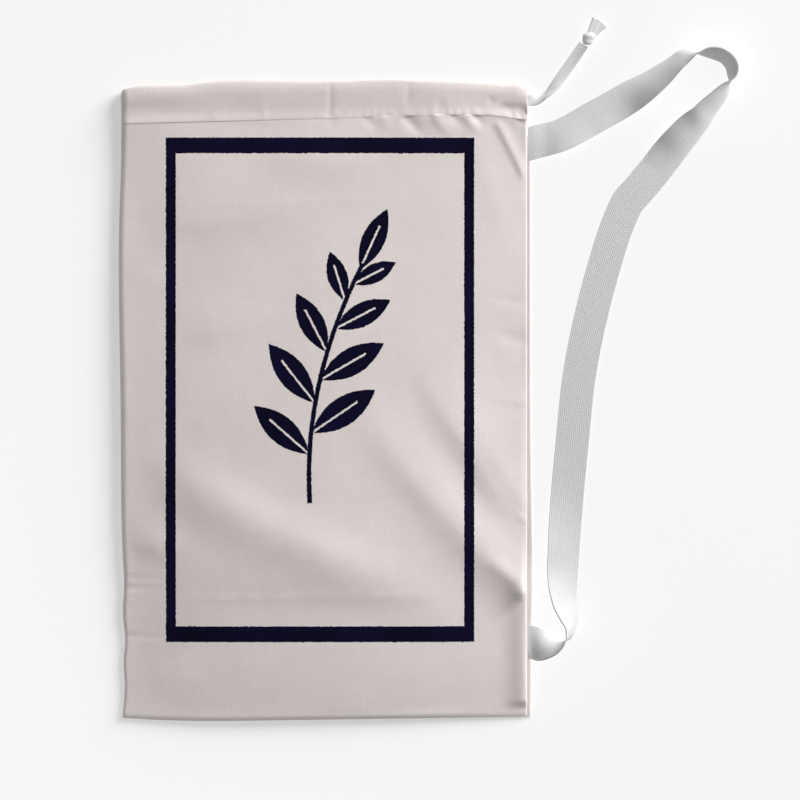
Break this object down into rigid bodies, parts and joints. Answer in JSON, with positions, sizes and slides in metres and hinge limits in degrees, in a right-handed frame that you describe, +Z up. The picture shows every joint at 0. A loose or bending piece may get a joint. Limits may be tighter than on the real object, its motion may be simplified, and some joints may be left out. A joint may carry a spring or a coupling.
{
  "type": "laundry bag",
  "caption": "Flat cotton laundry bag with a drawstring casing along its mouth, a knotted drawstring and a webbing shoulder strap sewn into one side.",
  "frame": {"origin": "middle of the bag's flat underside, where it rests", "axes": "+Y along the bag's length towards the mouth, +Z up out of the printed front, +X towards the side with the strap"},
  "size_m": [0.6887, 0.7847, 0.0372],
  "materials": {
    "cotton_cloth": "matt plain-woven cotton with a navy print",
    "strap_webbing": "ribbed woven webbing",
    "drawstring_tape": "soft flat woven tape"
  },
  "bodies": {
    "root": {"bag_body": "cotton_cloth", "casing": "cotton_cloth", "side_seam": "cotton_cloth", "strap": "strap_webbing", "drawstring_loop": "drawstring_tape", "drawstring_end_front": "drawstring_tape", "drawstring_end_back": "drawstring_tape", "drawstring_knot": "drawstring_tape"}
  },
  "joints": []
}
